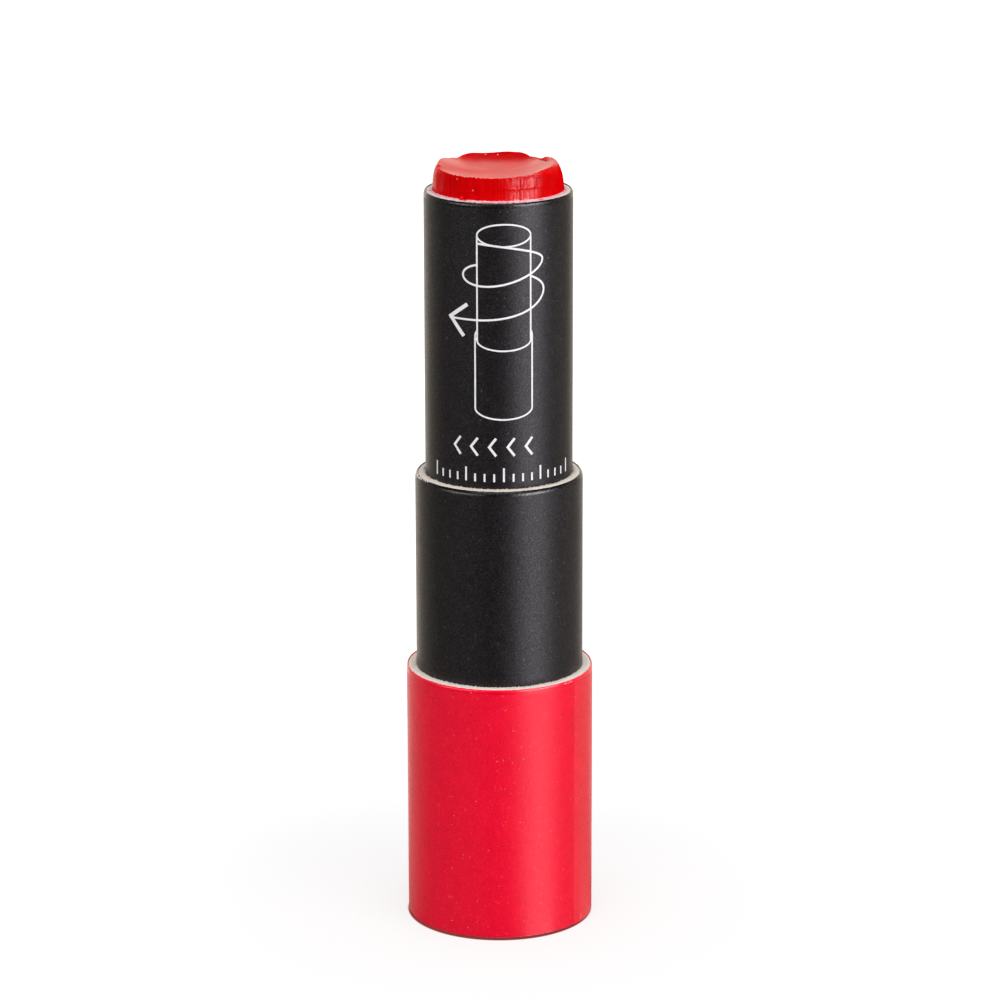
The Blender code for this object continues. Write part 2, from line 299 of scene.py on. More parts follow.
# From here each part of the floor lies about where the base's wall mirrors it
MIRROR_CENTRE = (0.08 * BASE_RADIUS, -0.62 * BASE_RADIUS, 0.0)

# The camera that the photograph was taken with, fitted to the tubes' rims
CAMERA_PLACE = (0.0, -414.46 * MM, 160.76 * MM)
CAMERA_PITCH = 15.476 * DEGREE
CAMERA_ROLL = -0.148 * DEGREE
CAMERA_YAW = 0.013 * DEGREE
CAMERA_LENS = 145.32


# Random lines and surfaces, always the same for one seed

def ripple(seed, lowest, highest, azimuths):
    """A column that runs rough round the tube, mostly within -1 to 1, from waves of so many per turn."""
    random = np.random.default_rng(seed)
    counts = np.arange(lowest, highest + 1)
    sizes = random.normal(size=len(counts))
    phases = random.uniform(0.0, TURN, len(counts))
    waves = sizes[:, None] * np.cos(counts[:, None] * azimuths[None, :] + phases[:, None])
    return waves.sum(0)[:, None] / math.sqrt(2.0 * (sizes ** 2).sum())


def smooth_steps(values):
    """Whole steps below each value, and the eased way on to the next."""
    below = np.floor(values).astype(int)
    way = values - below
    return below, way * way * (3.0 - 2.0 * way)


def mottle(seed, around, along, columns, rows):
    """Smooth random values from -1 to 1, over shares 0 to 1 of the way round and of the way along."""
    random = np.random.default_rng(seed)
    lattice = random.uniform(-1.0, 1.0, (columns, rows + 2))
    i, s = smooth_steps(np.mod(around, 1.0) * columns)
    j, t = smooth_steps(np.clip(along, 0.0, 1.0) * rows)
    near, far = (lattice[k % columns, j] * (1.0 - t) + lattice[k % columns, j + 1] * t for k in (i, i + 1))
    return near * (1.0 - s) + far * s


def eased(values, low, high):
    """0 below low, 1 above high, and a smooth step between."""
    share = np.clip((values - low) / (high - low), 0.0, 1.0)
    return share * share * (3.0 - 2.0 * share)


def bump(values, centre, half_width):
    """A raised cosine, 1 at the centre and 0 from half_width on. Values are azimuths."""
    away = np.abs(np.mod(values - centre + math.pi, TURN) - math.pi)
    return np.where(away < half_width, 0.5 + 0.5 * np.cos(math.pi * away / half_width), 0.0)


# Meshes

def even(start, end, step):
    """Values from start to end, about a step apart."""
    return np.linspace(start, end, max(2, round(abs(end - start) / step) + 1))


def full_turn(count):
    return np.arange(count) * TURN / count - math.pi


def open_turn(count, gap):
    """Azimuths from one side of a narrow gap at the back round to its other side."""
    return np.linspace(-math.pi + gap / 2, math.pi - gap / 2, count)


def on_tube(azimuth, radius, height):
    return (radius * math.sin(azimuth), -radius * math.cos(azimuth), height)


def placed(azimuths, radii, heights):
    """Points from arrays of azimuth, radius and height that fit one shape."""
    return np.stack([radii * np.sin(azimuths), -radii * np.cos(azimuths), heights], -1).reshape(-1, 3)


def add_object(name, data):
    made = bpy.data.objects.new(name, data)
    bpy.context.scene.collection.objects.link(made)
    return made


def add_piece(name, mesh, material, body):
    mesh.materials.append(material)
    mesh.shade_smooth()
    piece = add_object(name, mesh)
    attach(piece, body)
    return piece


def make_piece(name, points, faces, material, body):
    mesh = bpy.data.meshes.new(name)
    mesh.from_pydata(points.tolist(), [], faces)
    mesh.validate()
    piece = add_piece(name, mesh, material, body)
    mesh.set_sharp_from_angle(angle=SHARP_FROM)
    return piece


def skin(columns, rows, first=0, joined=True, all_round=True):
    """Faces over columns of points. Columns that aren't joined get a face at either end."""
    faces = []
    for i in range(columns if joined else columns - 1):
        here, there = first + i * rows, first + (i + 1) % columns * rows
        for j in range(rows if all_round else rows - 1):
            up = (j + 1) % rows
            faces.append((here + j, there + j, there + up, here + up))
    if not joined:
        last = first + (columns - 1) * rows
        faces += [tuple(range(first, first + rows)), tuple(reversed(range(last, last + rows)))]
    return faces


def tube(name, azimuths, radii, heights, material, body, seam=False):
    """A closed skin from grids of radius and height, with a column for each azimuth.

    A section runs from its outer foot up the outside and down inside. With a seam, the wall's two ends
    are closed instead of being joined.
    """
    around = azimuths if azimuths.ndim == 2 else azimuths[:, None]
    faces = skin(*radii.shape, joined=not seam)
    return make_piece(name, placed(around, radii, heights), faces, material, body)


def arc_points(centre_r, centre_z, radius, start, end, steps):
    angles = np.linspace(start, end, steps + 1)
    return [(centre_r + radius * math.cos(a), centre_z + radius * math.sin(a)) for a in angles]


def upright(radius, start, end, step):
    return [(radius, z) for z in even(start, end, step)]


def wrap_section(radius, foot, rim, rounding, turn):
    """Section of a paper wrap: its outside, the edge burnished in over the board, and its inside."""
    inner_round = rounding + GLUE_LINE
    outer_round = inner_round + WRAP_WALL
    centre_r = radius - outer_round
    centre_z = rim - rounding
    section = [(radius - WRAP_EDGE, foot), (radius, foot + WRAP_EDGE)]
    section += upright(radius, foot + 0.1 * MM, centre_z - 1.2 * MM, 0.35 * MM)
    section += upright(radius, centre_z - 1.1 * MM, centre_z - 0.05 * MM, 0.08 * MM)
    section += arc_points(centre_r, centre_z, outer_round, 0.0, turn - 0.05, 10)
    section += arc_points(centre_r, centre_z, inner_round, turn, 0.0, 6)
    section += upright(radius - WRAP_WALL, centre_z - 0.1 * MM, foot, 4 * MM)
    return np.array(section)


def board_section(radius, bore, foot, rim, rounding):
    """Section of a board tube, with many points across its cut rim."""
    section = [(radius - EDGE_BREAK, foot), (radius, foot + EDGE_BREAK)]
    section += upright(radius, foot + 0.5 * MM, rim - rounding - 0.2 * MM, 3 * MM)
    section += arc_points(radius - rounding, rim - rounding, rounding, 0.0, math.pi / 2, 9)
    section += [(r, rim) for r in even(radius - rounding - 0.05 * MM, bore + EDGE_BREAK, 0.05 * MM)]
    section += [(bore + EDGE_BREAK / 3, rim - EDGE_BREAK / 3), (bore, rim - EDGE_BREAK)]
    section += upright(bore, rim - 0.15 * MM, rim - 0.6 * MM, 0.1 * MM)
    section += upright(bore, rim - 1.0 * MM, foot + EDGE_BREAK, 3 * MM)
    return np.array(section + [(bore + EDGE_BREAK, foot)])


def spread_out(section, azimuths):
    """The section's radii and heights repeated for every azimuth."""
    return [np.tile(column, (len(azimuths), 1)) for column in section.T]


# Materials

class Graph:
    """A short way to write the node tree of a material or a world."""

    def __init__(self, owner):
        owner.use_nodes = True
        self.owner = owner
        self.tree = owner.node_tree

    def node(self, kind, inputs=None, **settings):
        """A new node, whose inputs are linked to outputs or set to plain values."""
        made = self.tree.nodes.new("ShaderNode" + kind)
        for name, value in settings.items():
            setattr(made, name, value)
        self.put(made, inputs or {})
        return made

    def put(self, made, inputs):
        for name, value in inputs.items():
            socket = made.inputs[name]
            if isinstance(value, bpy.types.NodeSocket):
                self.tree.links.new(value, socket)
            else:
                socket.default_value = value

    def math(self, operation, *values):
        return self.node("Math", dict(enumerate(values)), operation=operation).outputs["Value"]

    def plus(self, first, *others):
        for other in others:
            first = self.math("ADD", first, other)
        return first

    def times(self, first, *others):
        for other in others:
            first = self.math("MULTIPLY", first, other)
        return first

    def minus(self, first, second):
        return self.math("SUBTRACT", first, second)

    def between(self, share, first, second):
        return self.plus(first, self.times(share, self.minus(second, first)))

    def vector(self, operation, *values):
        made = self.node("VectorMath", dict(enumerate(values)), operation=operation)
        return made.outputs["Value" if operation in ("LENGTH", "DOT_PRODUCT") else "Vector"]

    def dot(self, first, second):
        return self.vector("DOT_PRODUCT", first, second)

    def axes(self, vector):
        """A vector's parts to the right, back and up."""
        return self.node("SeparateXYZ", {"Vector": vector}).outputs[:]

    def radius(self, place):
        return self.vector("LENGTH", self.vector("MULTIPLY", place, (1.0, 1.0, 0.0)))

    def noise(self, place, size, detail=2.0, roughness=0.5, distortion=0.0):
        """Noise whose features measure about size, in mm."""
        inputs = {"Vector": place, "Scale": 1.0 / (size * MM), "Detail": detail, "Roughness": roughness,
                  "Distortion": distortion}
        return self.node("TexNoise", inputs).outputs["Fac"]

    def span(self, value, low, high, to_low=0.0, to_high=1.0, kind="SMOOTHSTEP"):
        """A value's range from low to high, mapped onto another."""
        inputs = {"Value": value, "From Min": low, "From Max": high, "To Min": to_low, "To Max": to_high}
        return self.node("MapRange", inputs, interpolation_type=kind).outputs["Result"]

    def spread(self, noise, low, high):
        """A noise's usual range, mapped onto another."""
        return self.span(noise, 0.3, 0.7, low, high)

    def mix(self, factor, first, second, kind="MIX"):
        """A colour between two others, or two colours blended in another way."""
        made = self.node("Mix", {"Factor": factor, 6: first, 7: second}, data_type="RGBA", blend_type=kind)
        return made.outputs[2]

    def tint(self, shade, factor):
        """A colour, lighter or darker by a factor."""
        return self.mix(1.0, shade, factor, "MULTIPLY")

    def sum_colours(self, first, *others):
        for other in others:
            first = self.mix(1.0, first, other, "ADD")
        return first

    def relief(self, height, depth, below=None):
        """A bump of a real depth in mm, on top of another."""
        made = self.node("Bump", {"Strength": 1.0, "Distance": depth * MM, "Height": height})
        if below is not None:
            self.put(made, {"Normal": below})
        return made.outputs["Normal"]

    def spot(self, place, centre, size):
        """1 inside an ellipsoid, fading to 0 at its surface."""
        scaled = self.vector("DIVIDE", self.vector("SUBTRACT", place, centre), size)
        return self.span(self.vector("LENGTH", scaled), 0.5, 1.0, 1.0, 0.0)

    def finish(self, shade, roughness, normal, sheen=0.5):
        """Sets the looks of the material's own shader and returns the material."""
        self.put(self.tree.nodes["Principled BSDF"], {
            "Base Color": shade, "Roughness": roughness, "Normal": normal, "Specular IOR Level": sheen})
        return self.owner


def new_material(name):
    """A material's graph and the object's coordinates."""
    graph = Graph(bpy.data.materials.new(name))
    return graph, graph.node("TexCoord").outputs["Object"]


def spots_on(radius, rim, rows):
    """Centres and half sizes of spots on a tube, from rows of azimuth, depth below the rim and sizes."""
    return [(on_tube(azimuth * DEGREE, radius, rim - depth * MM), [size * MM for size in sizes])
            for azimuth, depth, *sizes in rows]


def coated_paper(name, coat, radius, rim, scuffs=(), lapped=False):
    """Printed paper under a soft satin coating, rubbed along its rim; painted light makes its lap a little
    paler.
    """
    base, mottled, fleck, core, sheen, mottle_from = coat
    graph, place = new_material(name)
    grain = graph.noise(place, 0.12, roughness=0.6)
    blotch = graph.noise(place, 1.3, detail=4.0, roughness=0.6)
    cloud = graph.noise(place, 8.0)
    mottling = graph.span(graph.noise(place, 0.16), mottle_from, mottle_from + MOTTLE_SPAN)
    shade = graph.mix(mottling, base, mottled)
    # Painted light: the lap gets a paler red
    if lapped:
        turned = graph.dot(place, on_tube(LAP_AZIMUTH + LAP_HALF, 1.0 / radius, 0.0))
        on_lap = graph.span(turned, math.cos(LAP_HALF * 1.04), math.cos(LAP_HALF * 0.94))
        shade = graph.mix(on_lap, shade, LAP_PAINTED_LIGHT)
    tone = graph.times(graph.spread(blotch, 0.97, 1.03), graph.spread(cloud, 0.98, 1.02))
    shade = graph.tint(shade, tone)
    dots = graph.span(graph.noise(place, 0.14, detail=1.0), 0.68, 0.80, 0.0, DOT_STRENGTH)
    flecks = graph.span(graph.noise(place, 0.24, detail=1.0), 0.74, 0.77, 0.0, FLECK_STRENGTH)
    shade = graph.mix(graph.math("MAXIMUM", dots, flecks), shade, fleck)
    height = graph.axes(place)[2]
    ragged = graph.noise(place, 0.25, detail=3.0)
    line = graph.plus(height, graph.span(ragged, 0.3, 0.7, -0.03 * MM, 0.03 * MM, "LINEAR"))
    wear = graph.span(line, rim - 0.05 * MM, rim - 0.01 * MM, 0.0, 0.85)
    for centre, size in spots_on(radius, rim, scuffs):
        torn = graph.times(graph.spot(place, centre, size), graph.span(ragged, 0.42, 0.52))
        wear = graph.math("MAXIMUM", wear, torn)
    burnished = graph.span(height, rim - 0.62 * MM, rim - 0.50 * MM, 0.0, -BURNISH)
    rough = graph.plus(graph.spread(blotch, SATIN - 0.015, SATIN + 0.015), graph.spread(grain, 0.06, -0.06),
                       burnished, graph.times(wear, 0.4))
    normal = graph.relief(grain, GRAIN_DEPTH, graph.relief(blotch, 0.008))
    return graph.finish(graph.mix(wear, shade, core), rough, normal, graph.spread(grain, *sheen))


def cut_board(name, base, stains=(), smears=()):
    """Wound grey-white board: faint plies across the cut, short fibres, and stains near the wax."""
    graph, place = new_material(name)
    radius = graph.radius(place)
    fibre = graph.noise(place, 0.12, detail=4.0, roughness=0.65, distortion=0.4)
    blotch = graph.noise(place, 0.8, detail=3.0)
    wander = graph.span(blotch, 0.0, 1.0, -0.15 * MM, 0.15 * MM, "LINEAR")
    ply = graph.math("SINE", graph.times(graph.plus(radius, wander), TURN / PLY))
    tone = graph.times(graph.span(fibre, 0.25, 0.75, 0.86, 1.08), graph.span(ply, -1.0, 1.0, 0.95, 1.02),
                       graph.spread(blotch, 0.95, 1.03))
    shade = graph.tint(base, tone)
    for stain, low, high, limit in stains:
        inside = graph.span(radius, limit, limit + 0.16 * MM, 1.0, 0.0)
        shade = graph.mix(graph.times(graph.span(blotch, low, high), inside), shade, stain)
    for centre, size in smears:
        rubbed = graph.times(graph.spot(place, centre, size), graph.span(fibre, 0.40, 0.50))
        shade = graph.mix(rubbed, shade, WAX_SMEAR)
    return graph.finish(shade, 0.92, graph.relief(fibre, 0.018, graph.relief(blotch, 0.02)))


def fold_run(fold):
    """A fold's start, direction and length, in mm."""
    start, end = np.array(fold[:2]), np.array(fold[2:4])
    length = math.dist(start, end)
    return start, (end - start) / length, length


def red_wax():
    """The bullet: fine upright streaks where the sleeve drew along it, and a dull rubbed top."""
    graph, place = new_material("red_wax")
    right, back, height = graph.axes(place)
    streaks = graph.noise(graph.vector("MULTIPLY", place, (1.0, 1.0, 0.035)), 0.22, detail=3.0)
    grain = graph.noise(place, 0.14, detail=3.0, roughness=0.6)
    blotch = graph.noise(place, 0.9, detail=3.0)
    facing_up = graph.span(graph.axes(graph.node("NewGeometry").outputs["Normal"])[2], 0.52, 0.85)
    # Painted shade: the upward-facing back lip gets a darker red
    lip = graph.times(facing_up, graph.span(back, LIP_FROM, LIP_FROM + LIP_WIDTH))
    tone = graph.times(graph.spread(blotch, 0.92, 1.06), graph.spread(streaks, 0.93, 1.05),
                       graph.span(lip, 0.0, 1.0, 1.0, 0.76, "LINEAR"))
    dust = 0.0
    for x, y, z, tall in WAX_SPECKS:
        speck = graph.spot(place, (x * MM, y * MM, z * MM), (0.10 * MM, 0.14 * MM, tall * MM))
        dust = graph.math("MAXIMUM", dust, graph.times(speck, SPECK_STRENGTH))
    shade = graph.mix(dust, graph.tint(WAX_RED, tone), WAX_SPECK)

    # A dark line painted along the first fold: painted shade in its groove, where the top's sheen is taken
    # away too
    (start_x, start_y), (ahead_x, ahead_y), length = fold_run(FOLDS[0])
    offset = graph.vector("SUBTRACT", place, (start_x * MM, start_y * MM, 0.0))
    along = graph.dot(offset, (ahead_x, ahead_y, 0.0))
    wander = graph.span(blotch, 0.2, 0.8, -0.12 * MM, 0.12 * MM)
    across = graph.math("ABSOLUTE", graph.plus(graph.dot(offset, (ahead_y, -ahead_x, 0.0)), wander))
    crease = graph.times(graph.span(across, 0.07 * MM, 0.13 * MM, 1.0, 0.0),
                         graph.span(along, 0.1 * MM, 0.6 * MM),
                         graph.span(along, (length - 0.6) * MM, (length - 0.1) * MM, 1.0, 0.0), facing_up)

    turned = graph.dot(place, on_tube(GLEAM_AZIMUTH, 1.0 / BULLET_RADIUS, 0.0))
    broken = graph.noise(graph.vector("MULTIPLY", place, (1.0, 1.0, 0.4)), 0.40, detail=3.0)
    from_crack = graph.math("ABSOLUTE", graph.minus(height, CRACK_HEIGHT))
    gleam = graph.times(graph.span(turned, math.cos(GLEAM_HALF), 0.985, 0.0, 0.60),
                        graph.span(streaks, 0.36, 0.56, 0.35, 1.0),
                        graph.span(broken, 0.40, 0.56, 0.45, 1.15),
                        graph.span(from_crack, 0.09 * MM, 0.14 * MM),
                        graph.span(height, GLEAM_TOP, GLEAM_TOP + 0.12 * MM, 1.0, 0.3))
    side_sheen = graph.plus(graph.span(right, 4.5 * MM, 6.3 * MM, 0.06, 0.0), gleam)
    top_sheen = graph.times(graph.span(lip, 0.0, 1.0, 0.70, 0.05, "LINEAR"),
                            graph.plus(1.0, graph.dot(place, DISH_SLANT)),
                            graph.span(right, 4.8 * MM, 6.3 * MM, 1.0, 0.3), graph.minus(1.0, crease))
    rough = graph.between(facing_up, graph.spread(streaks, 0.16, 0.30), graph.spread(grain, 0.30, 0.36))
    drawn = graph.times(streaks, graph.minus(1.0, facing_up))
    normal = graph.relief(graph.noise(place, 0.10), 0.010, graph.relief(drawn, 0.012))
    shade = graph.mix(crease, shade, FOLD_PAINTED_SHADE)
    return graph.finish(shade, rough, normal, graph.between(facing_up, side_sheen, top_sheen))


def grained(name, base, size, tones, roughness, depth, sheen=0.5):
    """A plain stuff with a fine grain: the grain's size, its tones and roughness, and its depth."""
    graph, place = new_material(name)
    grain = graph.noise(place, size, detail=3.0)
    shade = graph.tint(base, graph.spread(grain, *tones))
    return graph.finish(shade, graph.spread(grain, *roughness), graph.relief(grain, depth), sheen)


def greaseproof():
    """The thin lining, stained pink along its upper edge by the wax."""
    graph, place = new_material("greaseproof")
    fibre = graph.noise(place, 0.2, detail=4.0, roughness=0.6)
    blotch = graph.noise(place, 0.9, detail=3.0)
    shade = graph.tint(LINING, graph.spread(fibre, 0.93, 1.05))
    near_rim = graph.span(graph.axes(place)[2], SLEEVE_RIM - 1.5 * MM, SLEEVE_RIM - 0.1 * MM)
    soaked = graph.times(near_rim, graph.span(blotch, 0.3, 0.62, 0.6, 1.0))
    shade = graph.mix(soaked, shade, WAX_STAIN)
    return graph.finish(shade, graph.spread(fibre, 0.5, 0.65), graph.relief(fibre, 0.01))


# Pieces of paper and board

def wrap_grids(node, azimuths, radius, rim, rounding, seed):
    """A wrap's grids, with its outside a little uneven and its two cut edges ragged."""
    foot = foot_of(node)
    section = wrap_section(radius, foot, rim, *rounding)
    levels = section[:, 1]
    radii, heights = spread_out(section, azimuths)
    outside = np.arange(len(levels)) < np.argmax(levels) + 1
    dents = mottle(seed, azimuths[:, None] / TURN, (levels - foot) / (rim - foot), 15, 7)
    radii -= outside * (0.5 + 0.5 * dents) * DENT_DEPTH
    near_rim = eased(levels, rim - 0.25 * MM, rim - 0.03 * MM)
    heights += near_rim * (ripple(seed + 1, 9, 170, azimuths) - 0.2) * RIM_RAGGED
    near_foot = eased(levels, foot + 0.3 * MM, foot)
    heights += near_foot * np.abs(ripple(seed + 2, 12, 150, azimuths)) * RIM_RAGGED
    return levels, outside, radii, heights


def lap(azimuths):
    """How far the base's paper stands out where it laps over its own start."""
    flat_end = LAP_AZIMUTH + 2 * LAP_HALF
    rise = eased(azimuths, LAP_AZIMUTH, LAP_AZIMUTH + LAP_EDGE)
    fall = eased(azimuths, flat_end, flat_end + LAP_RAMP)
    return (LAP_RADIUS - BASE_RADIUS) * (rise - fall)


def build_base_wrap():
    finer = LAP_AZIMUTH + LAP_EDGE * np.linspace(-1.0, 2.0, 16)
    azimuths = np.sort(np.concatenate([full_turn(COLUMNS), finer]))
    levels, outside, radii, heights = wrap_grids(
        "base_wrap", azimuths, BASE_RADIUS, BASE_RIM, BASE_ROUND, 11)
    over_rim = eased(levels, BASE_RIM - BASE_ROUND[0], BASE_RIM)
    radii += outside * (1.0 - over_rim) * lap(azimuths)[:, None]
    close = bump(azimuths, LAP_AZIMUTH, 5 * LAP_EDGE)[:, None]
    wander = mottle(12, 0.0, levels / BASE_RIM, 2, 60)
    around = azimuths[:, None] + close * wander * LAP_EDGE * 0.1
    red = coated_paper("red_coated_paper", RED_COAT, BASE_RADIUS, BASE_RIM, BASE_SCUFFS, lapped=True)
    piece = tube("base_paper", around, radii, heights, red, "base")
    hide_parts("base_wrap")


def build_black_wrap(part, body, radius, rim, rounding, seed, scuffs=(), chips=0.0):
    """A black wrap with a butt seam at the back, and chips of some depth in its rim at the left."""
    node = part + "_wrap"
    azimuths = open_turn(COLUMNS, BUTT_GAP / radius)
    levels, _, radii, heights = wrap_grids(node, azimuths, radius, rim, rounding, seed)
    chipped = bump(azimuths, CHIP_AZIMUTH, CHIP_HALF)[:, None] * (0.75 + 0.5 * ripple(22, 20, 90, azimuths))
    near_rim = eased(levels, rim - 0.3 * MM, rim - 0.05 * MM)
    heights -= near_rim * np.clip(chipped, 0.0, 1.2) * chips
    black = coated_paper(f"black_{part}_paper", BLACK_COAT, radius, rim, scuffs)
    piece = tube(part + "_paper", azimuths, radii, heights, black, body, seam=True)
    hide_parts(node)


def build_board(name, node, seed, burr, rounding, material, body):
    """A board tube with a fibrous cut rim and burrs along its inner edge."""
    azimuths = full_turn(COLUMNS + 180)
    radius, bore, foot, rim = outer_radius(node), min(radii_of(node)), foot_of(node), top_of(node)
    section = board_section(radius, bore, foot, rim, rounding)
    radii, heights = spread_out(section, azimuths)
    cut = eased(section[:, 1], rim - 0.12 * MM, rim - 0.01 * MM)
    across = (section[:, 0] - bore) / (radius - bore)
    fibres = mottle(seed, azimuths[:, None] / TURN, across, 420, 9)
    waves = ripple(seed + 1, 3, 14, azimuths)
    heights += cut * ((fibres - 1.0) * FIBRE_HEIGHT + (waves - 1.0) * WAVE_HEIGHT)
    inner_edge = cut * eased(section[:, 0], bore + 0.12 * MM, bore + 0.01 * MM)
    torn = np.clip(ripple(seed + 2, 60, 330, azimuths), 0.0, 1.6)
    radii -= inner_edge * torn * burr
    heights += inner_edge * (torn - 0.4) * burr
    piece = tube(name, azimuths, radii, heights, material, body)
    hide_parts(node)


def build_boards():
    base = cut_board("base_board", BASE_BOARD)
    neck = cut_board("neck_board", BOARD)
    stains = [(RING_BLUSH, 0.15, 0.40, SLEEVE_BORE + 0.45 * MM),
              (WAX_STAIN, 0.45, 0.65, SLEEVE_BORE - 0.03 * MM),
              (WAX_SMEAR, 0.62, 0.68, SLEEVE_BORE + 0.30 * MM)]
    smears = [(azimuth, 0.0, length, 0.34, 0.5) for azimuth, length in RING_SMEARS]
    smears = spots_on(SLEEVE_RADIUS - SMEAR_INSET, SLEEVE_RIM, smears)
    sleeve = cut_board("sleeve_board", BOARD, stains, smears)
    build_board("base_core", "base_tube", 41, BURR, BASE_ROUND[0], base, "base")
    build_board("neck_core", "neck_tube", 51, BURR, NECK_ROUND[0], neck, "base")
    build_board("sleeve_core", "sleeve_tube", 61, SLEEVE_BURR, SLEEVE_ROUND[0], sleeve, "sleeve")


def build_liner():
    node = "sleeve_liner"
    azimuths = full_turn(COLUMNS)
    foot, rim = foot_of(node), top_of(node)
    section = upright(outer_radius(node), foot, rim, 2 * MM)
    section = np.array(section + upright(min(radii_of(node)), rim, foot, 2 * MM))
    radii, heights = spread_out(section, azimuths)
    ragged = ripple(71, 7, 120, azimuths) * RIM_RAGGED
    heights += (section[:, 1] > rim - MM / 2) * (LINER_PROUD + ragged)
    piece = tube("lining", azimuths, radii, heights, greaseproof(), "sleeve")
    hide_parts(node)


def dress_inner_solids():
    """The board pieces inside keep their solids and get the board's finish."""
    board = cut_board("inner_board", BOARD)
    for node in ("base_disc", "post_tube", "post_collar", "post_plug", "carrier_tube", "carrier_disc"):
        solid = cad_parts[node]
        solid.data.materials.clear()
        solid.data.materials.append(board)


# The bullet

def round_the_rim(points, azimuths, blur):
    """A smooth line round the bullet through mm at some azimuths. These and the blur are in degrees."""
    degrees = np.arange(-180.0, 180.0)
    line = np.interp(degrees, *zip(*points), period=360.0)
    window = np.hanning(2 * blur + 1)
    line = np.convolve(np.pad(line, blur, "wrap"), window / window.sum(), "valid")
    return np.interp(np.degrees(azimuths), degrees, line, period=360.0) * MM


def worn_height(azimuths, radii):
    """Height of the worn top, and its share of the way down the rubbed shoulder."""
    column = azimuths[:, :1]
    inset = round_the_rim(SHOULDER_INSETS, column, RIM_BLUR)
    calm = 1.0 - 0.7 * bump(column, 4 * DEGREE, 28 * DEGREE)
    nicks = RIM_NICKS * ripple(81, 14, 110, column[:, 0]) * bump(column, 0.0, 110 * DEGREE) * calm
    edge = round_the_rim(RIM_HEIGHTS, column, RIM_BLUR)
    broad = round_the_rim(RIM_HEIGHTS, column, DISH_BLUR)
    crease = BULLET_RADIUS - inset
    share = np.minimum(radii / crease, 1.0)
    rise = share ** (DISH_POWER + BACK_POWER * bump(column, math.pi, 70 * DEGREE))
    x, y = radii * np.sin(azimuths), -radii * np.cos(azimuths)
    height = (broad + (edge - broad) * share ** 7) * rise - DISH_DEPTH * (1.0 - rise)
    height += DISH_TILT * y * (1.0 - share ** 2) + nicks * share ** 16
    past = np.clip((radii - crease) / inset, 0.0, 1.0)
    height -= SHOULDER_SLOPE * inset * (1.0 - np.sqrt(1.0 - past ** 1.5))
    for fold in FOLDS:
        (start_x, start_y), (ahead_x, ahead_y), length = fold_run(fold)
        width, depth = fold[4:]
        off_x, off_y = x / MM - start_x, y / MM - start_y
        way = (off_x * ahead_x + off_y * ahead_y) / length
        across = (off_x * ahead_y - off_y * ahead_x + 1.2 * way * (1.0 - way)) / width
        groove = np.exp(-across ** 2) - 0.4 * np.exp(-(across + 2.4) ** 2)
        height -= depth * MM * eased(way, 0.0, 0.3) * eased(way, 1.0, 0.7) * groove
    for spot_x, spot_y, size, depth in PITS:
        away = ((x - spot_x * MM) ** 2 + (y - spot_y * MM) ** 2) / (size * MM) ** 2
        height -= depth * MM * np.exp(-away)
    return np.minimum(FRONT_RIM + height, BULLET_TOP), past


